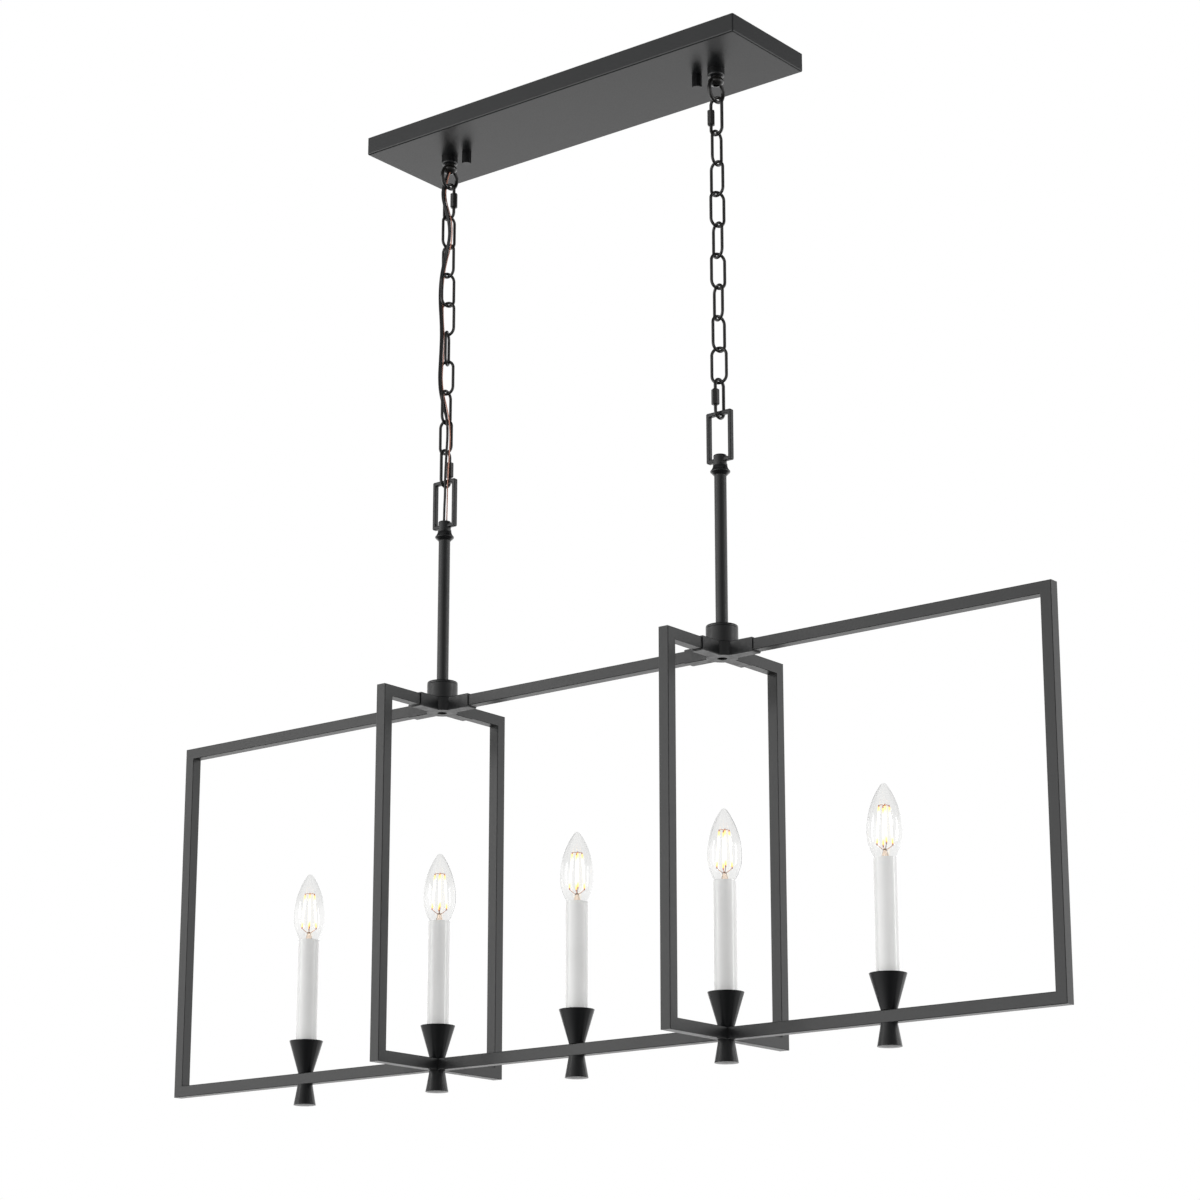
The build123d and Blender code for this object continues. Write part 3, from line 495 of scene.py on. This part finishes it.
def point_at(line, level):
    """Number of the first point of a line at or below a level in mm, or else of its last point."""
    return next((k for k, point in enumerate(line) if point.z <= level * MM), len(line) - 1)


cord_line, ground_line = route_line(cord_route), route_line(ground_route)
flex_section = twin_section(lobe=1.2 * MM, apart=0.9 * MM)
cover_section, core_section = circle(0.65 * MM, count=16), circle(0.48 * MM, count=12)
first_cord, first_ground = 0, 0
for name, level, bends in stretches:
    last_cord, last_ground = point_at(cord_line, level), point_at(ground_line, level)
    cord = along(name + "_flex", cord_line, first_cord, last_cord, flex_section, cord_black, turned=True)
    cover = along(name + "_ground", ground_line, first_ground, last_ground, cover_section, wire_cover)
    core = along(name + "_core", ground_line, first_ground, last_ground, core_section, copper)
    ground = joined(name + "_ground", [cover, core])
    cord_path = cord_line[first_cord:last_cord + 1]
    ground_path = ground_line[first_ground:last_ground + 1]
    for piece, path, width in ((cord, cord_path, flex_width), (ground, ground_path, ground_width)):
        if bends:
            a, b, high, low = bends
            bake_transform(piece)
        else:
            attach(piece, "chain_link_left_1")
        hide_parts(name)
    first_cord, first_ground = last_cord, last_ground


# ------------------------------------------------------------------ bulbs
frame_bottom, square_bar = -1039.5, 12.0
bottom_bar_top = frame_bottom + square_bar
sleeve_end = bottom_bar_top + 143.6
bulb_places = (-372.25, -185.0, 0.0, 185.0, 372.25)

# The rest of a bulb is given in mm from its axis and above the sleeve's end.
cap_top = -6.4
wall = 0.6
filament_count = 4
foot_radius, foot_level = 7.6, 13.0           # of a filament, where it stands on the lower wires
head_radius, head_level = 5.0, 50.0           # and where it hangs from the upper ones
fork_level, knee_level, bow_level = 8.0, 9.6, 52.0
fork_share, knee_share, bow_share = 0.15, 0.6, 0.5      # how far out they lie, of the filament end's radius
wire_radius, tab_radius, stick_radius = 0.3, 0.62, 0.8
wire_sides, stick_sides = 8, 12
tab_behind, tab_ahead, stick_gap = 0.8, 1.6, 1.2


def arc(centre, radius, first, last, count):
    """Points of an arc, both ends among them."""
    return [(centre[0] + radius * cos(first + (last - first) * k / count),
             centre[1] + radius * sin(first + (last - first) * k / count)) for k in range(count + 1)]


def bulb_profile(inset):
    """Torpedo outline from the neck up to the tip, drawn in from the glass's outside by the inset."""
    radius, widest, height, long_radius, neck_radius = 17.5, 24.6, 72.0, 80.0, 10.1
    throat_radius = 11.7 / 2
    rise, reach = height - widest, long_radius - radius
    tip = (long_radius ** 2 - reach ** 2 - rise ** 2) / (2 * (long_radius - rise))
    lean = atan2(rise - tip, reach)
    neck = radius - neck_radius
    shoulder = (widest ** 2 + neck ** 2) / (2 * neck)
    drop = asin(widest / shoulder)
    points = [(throat_radius - inset, cap_top)]
    points += arc((radius - shoulder, widest), shoulder - inset, -drop, 0, 18)
    points += arc((radius - long_radius, widest), long_radius - inset, 0, lean, 26)[1:]
    points += arc((0, height - tip), tip - inset, lean, pi / 2, 9)[1:]
    points[-1] = (0.0, points[-1][1])
    return points


def bulb_part(name, profile, x, material, steps):
    """Turned part of the bulb at x, from a profile in mm above the sleeve's end."""
    raised = [(radius * MM, (sleeve_end + level) * MM) for radius, level in profile]
    return lathe(name, raised, x * MM, material, steps)


def leaning(number):
    """Foot and head of a filament."""
    angle = radians(45 + 90 * number)
    foot = Vector((foot_radius * cos(angle), foot_radius * sin(angle), foot_level))
    return foot, Vector((head_radius * cos(angle), head_radius * sin(angle), head_level))


def placed(point, x):
    """Place in metres of a point of the bulb at x."""
    return Vector((x + point.x, point.y, sleeve_end + point.z)) * MM


glass_profile = bulb_profile(0.0)[::-1] + bulb_profile(wall)
mount_profile = ((0, -6.2), (4.6, -6.2), (4.2, -2), (3.2, 3), (2.3, 6), (2.1, 8), (1.2, 9), (0, 9.2))

# screw cap: a shell with the thread as five waves, a black insulator and a solder point
shell_end, ring_end = cap_top - 16.4, cap_top - 18.0
thread_top, thread_length, thread_waves, thread_rows = cap_top - 1.2, 14.2, 5, 60
thread_radius, wave_height = 5.45, 0.35
shell_profile = [(0, cap_top), (5.55, cap_top), (5.7, cap_top - 0.8)]
for k in range(thread_rows + 1):
    wave = wave_height * cos(2 * pi * k / thread_rows * thread_waves)
    shell_profile.append((thread_radius + wave, thread_top - thread_length * k / thread_rows))
shell_profile += [(4.6, shell_end), (0, shell_end)]
ring_profile = ((0, shell_end), (4.5, shell_end), (3.0, ring_end), (0, ring_end))
dot_profile = ((0, ring_end), (2.4, ring_end), (2.1, cap_top - 18.6), (1.1, cap_top - 18.95),
               (0, cap_top - 19.0))

for number, x in enumerate(bulb_places, start=1):
    body = f"bulb_{number}"
    envelope = bulb_part(f"bulb_glass_{number}", glass_profile, x, glass, steps=96)
    mount = bulb_part(f"bulb_mount_{number}", mount_profile, x, mount_glass, steps=32)

    wires, sticks = [], []
    fork, crown = Vector((0, 0, fork_level)), Vector((0, 0, head_level))
    for k in range(filament_count):
        foot, head = leaning(k)
        knee = Vector((foot.x * knee_share, foot.y * knee_share, knee_level))
        bow = Vector((head.x * bow_share, head.y * bow_share, bow_level))
        for route in ((fork + Vector((foot.x, foot.y, 0)) * fork_share, knee, foot), (crown, bow, head)):
            line = smooth_line([placed(point, x) for point in route])
            wires.append(tube("lead", line, circle(wire_radius * MM, wire_sides), copper))
        for end, toward in ((foot, head), (head, foot)):
            step = (toward - end).normalized()
            line = [placed(end - step * tab_behind, x), placed(end + step * tab_ahead, x)]
            wires.append(tube("tab", line, circle(tab_radius * MM, wire_sides), copper))
        step = (head - foot).normalized()
        low, high = placed(foot + step * stick_gap, x), placed(head - step * stick_gap, x)
        line = [low, low.lerp(high, 0.33), low.lerp(high, 0.66), high]
        sticks.append(tube("stick", line, circle(stick_radius * MM, stick_sides), filament))
    leads = joined(f"bulb_leads_{number}", wires)
    glow = joined(f"bulb_filaments_{number}", sticks)

    shell = bulb_part(f"cap_shell_{number}", shell_profile, x, brass, steps=40)
    ring = bulb_part(f"cap_ring_{number}", ring_profile, x, insulator, steps=32)
    dot = bulb_part(f"cap_dot_{number}", dot_profile, x, solder, steps=24)
    cap = joined(f"bulb_cap_{number}", [shell, ring, dot])

    for piece in (envelope, mount, leads, glow, cap):
        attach(piece, body)
        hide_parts(body)


# ------------------------------------------------------------------ room and light
floor_size, floor_level = 14.0, -2.1
floor_lift = 0.5                              # light that it gives the camera alone, so that it reads white


def stage_plane(name, size, place, material):
    """Level square that belongs to the room and not to the part."""
    half = size / 2
    made = mesh_piece(name, [(-half, -half, 0), (half, -half, 0), (half, half, 0), (-half, half, 0)],
                      [(0, 1, 2, 3)], material, smooth=False)
    made.location = place
    return made


floor_paint, tree, principled = shader("floor_paint")
coords = node(tree, "ShaderNodeTexCoord")
mottle = noise(tree, coords, scale=0.8, detail=4.0, rough=0.5)
tone = ramp(tree, mottle.outputs["Fac"], 0.3, 0.7, (0.86, 0.86, 0.855), (0.90, 0.90, 0.895))
tree.links.new(tone.outputs["Color"], principled.inputs["Base Color"])
principled.inputs["Roughness"].default_value = 0.7
principled.inputs["Emission Color"].default_value = (1, 1, 1, 1)
seen = node(tree, "ShaderNodeLightPath")
lift = node(tree, "ShaderNodeMath", operation="MULTIPLY")
lift.inputs[1].default_value = floor_lift
tree.links.new(seen.outputs["Is Camera Ray"], lift.inputs[0])
tree.links.new(lift.outputs["Value"], principled.inputs["Emission Strength"])
floor = stage_plane("floor", floor_size, (0, 0, floor_level), floor_paint)
floor.visible_glossy = False

# The camera and the glass see plain white. All else sees a room that is white along the horizon and dark at
# the feet and overhead, brighter on the front left and beyond the object, and darker behind the camera.
world = bpy.data.worlds.new("studio")
scene.world = world
world.use_nodes = True
tree = world.node_tree
tree.nodes.clear()
output = node(tree, "ShaderNodeOutputWorld")
plain = node(tree, "ShaderNodeBackground", Color=(1, 1, 1, 1), Strength=1.0)
room = node(tree, "ShaderNodeBackground", Color=(1.0, 1.0, 1.0, 1))
coords = node(tree, "ShaderNodeTexCoord")


def math(operation, *values):
    """Result of a math node, each of whose values is a number or another node's output."""
    made = node(tree, "ShaderNodeMath", operation=operation)
    for place, value in enumerate(values):
        if isinstance(value, (int, float)):
            made.inputs[place].default_value = value
        else:
            tree.links.new(value, made.inputs[place])
    return made.outputs["Value"]


def lobe(x, y, power):
    """1 towards the level direction x, y, falling to 0 at right angles to it."""
    dot = node(tree, "ShaderNodeVectorMath", operation="DOT_PRODUCT")
    dot.inputs[1].default_value = (x, y, 0)
    tree.links.new(coords.outputs["Generated"], dot.inputs[0])
    return math("POWER", math("MAXIMUM", dot.outputs["Value"], 0.0), power)


# brightness from straight down at 0 over the horizon at 0.5 to straight up at 1
bright_by_height = ((0.0, 0.05), (0.20, 0.08), (0.30, 0.90), (0.44, 1.0),
                    (0.63, 1.0), (0.71, 0.13), (0.82, 0.12), (1.0, 0.35))
# level direction, narrowness and added brightness of each lobe
bright_lobes = ((-0.45, -0.89, 3, 1.6), (0.62, 0.78, 3, 0.55),
                (-0.62, 0.78, 3, 0.65), (0.62, -0.78, 2, -0.80))

split = node(tree, "ShaderNodeSeparateXYZ")
tree.links.new(coords.outputs["Generated"], split.inputs["Vector"])
height = math("MULTIPLY_ADD", split.outputs["Z"], 0.5, 0.5)
by_height = colour_ramp(tree, height, bright_by_height, "EASE").outputs["Color"]
around = 1.0
for x, y, power, gain in bright_lobes:
    around = math("MULTIPLY_ADD", lobe(x, y, power), gain, around)
tree.links.new(math("MULTIPLY", by_height, around), room.inputs["Strength"])
rays = node(tree, "ShaderNodeLightPath")
either = math("MAXIMUM", rays.outputs["Is Camera Ray"], rays.outputs["Is Transmission Ray"])
mix = node(tree, "ShaderNodeMixShader")
tree.links.new(either, mix.inputs["Fac"])
tree.links.new(room.outputs["Background"], mix.inputs[1])
tree.links.new(plain.outputs["Background"], mix.inputs[2])
tree.links.new(mix.outputs["Shader"], output.inputs["Surface"])


def soft_light(name, place, aim, size, power, colour=(1, 1, 1)):
    """Rectangular lamp aimed at a point, in metres and watts, that the camera doesn't see."""
    lamp = bpy.data.lights.new(name, "AREA")
    lamp.shape = "RECTANGLE"
    lamp.size, lamp.size_y = size
    lamp.energy = power
    lamp.color = colour
    made = bpy.data.objects.new(name, lamp)
    collection.objects.link(made)
    made.location = place
    made.rotation_mode = "QUATERNION"
    made.rotation_quaternion = (Vector(aim) - Vector(place)).to_track_quat("-Z", "Y")
    made.visible_camera = False
    return made


soft_light("window", (-2.6, -2.8, 0.2), aim=(0, 0, -0.7), size=(0.5, 1.4), power=7, colour=(1.0, 0.99, 0.97))
soft_light("strip", (2.7, 1.45, -0.5), aim=(0, 0, -0.9), size=(0.5, 1.6), power=13)
for name, place, power in (("key", (0.2, -3.6, 1.0), 21), ("fill", (3.6, -0.3, 0.8), 30)):
    lamp = soft_light(name, place, aim=(0, 0, -0.8), size=(1.4, 1.4), power=power)
    lamp.visible_glossy = False
